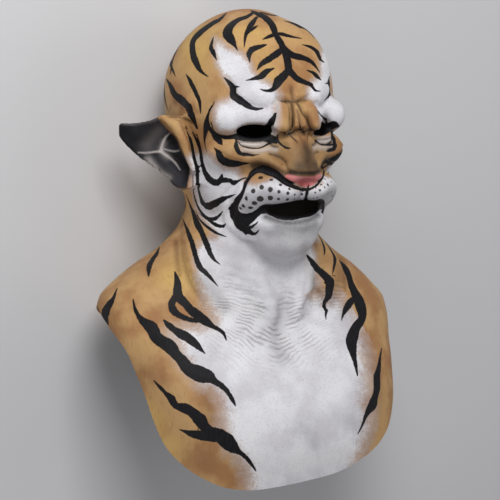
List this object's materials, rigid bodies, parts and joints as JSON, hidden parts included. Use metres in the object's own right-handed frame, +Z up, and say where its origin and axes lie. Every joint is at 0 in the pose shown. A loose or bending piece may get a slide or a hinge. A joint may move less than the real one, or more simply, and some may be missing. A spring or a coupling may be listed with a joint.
{
  "type": "over-the-head animal mask",
  "caption": "Over-the-head latex tiger mask with long neck, chest bib, cupped ears, eye holes and open mouth, hollow and lying face up.",
  "frame": {"origin": "middle of the footprint on the surface the mask lies on", "axes": "+Z up, the way the face looks; +Y towards the crown; +X towards the ear on the right of someone looking down at the face"},
  "size_m": [0.3405, 0.484, 0.2233],
  "materials": {
    "painted_latex": "satin cast latex, airbrushed tan, white and black, charcoal inside"
  },
  "bodies": {
    "root": {"mask_skin": "painted_latex"}
  },
  "joints": []
}
